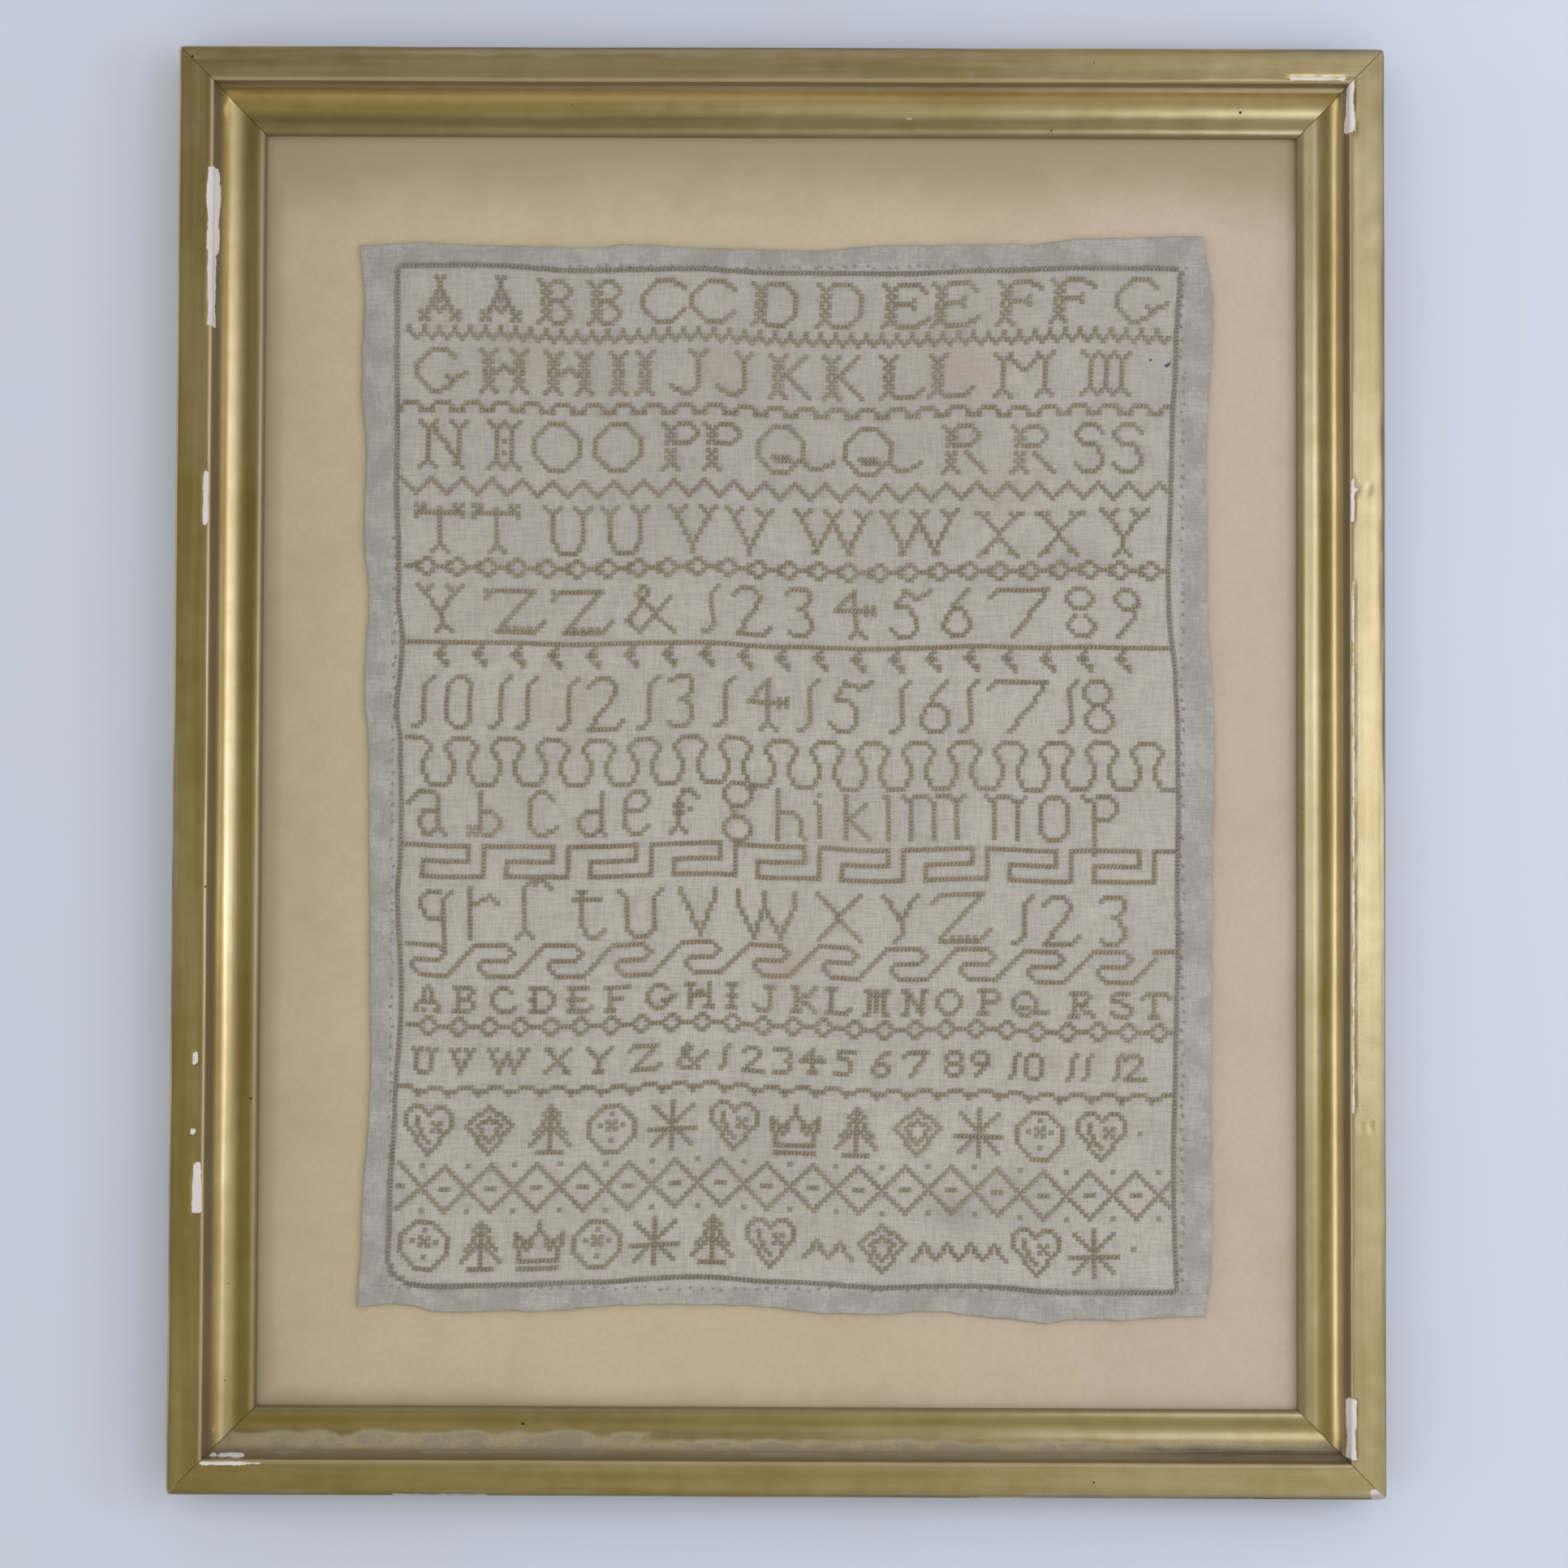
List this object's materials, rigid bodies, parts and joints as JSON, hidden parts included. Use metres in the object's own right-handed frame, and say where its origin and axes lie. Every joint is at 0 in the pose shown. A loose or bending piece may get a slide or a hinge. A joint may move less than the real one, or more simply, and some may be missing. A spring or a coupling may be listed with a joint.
{
  "type": "framed cross stitch sampler in a mitred picture frame",
  "caption": "Linen cross stitch sampler with a turned hem, lying on a pale mount board in a gilt mitred scoop frame with a raised flat outer band.",
  "frame": {"origin": "on the back plane of the frame, under the middle of its outline", "axes": "+Z out of the picture's face, +Y towards the top of the picture, +X to its right; the part lies on its back"},
  "size_m": [0.382, 0.457, 0.018],
  "materials": {
    "gilt_moulding": "bronze-gilt over gesso on softwood, satin, worn to white gesso along the arrises",
    "mount_card": "matt paper-faced pasteboard, aged beige, faintly mottled",
    "linen": "plain-woven undyed linen, greyed and lightly stained",
    "thread": "faded brown sewing thread in cross stitch"
  },
  "bodies": {
    "root": {"rail_top": "gilt_moulding", "rail_bottom": "gilt_moulding", "rail_left": "gilt_moulding", "rail_right": "gilt_moulding", "mount_board": "mount_card", "sampler_linen": "linen"}
  },
  "joints": []
}
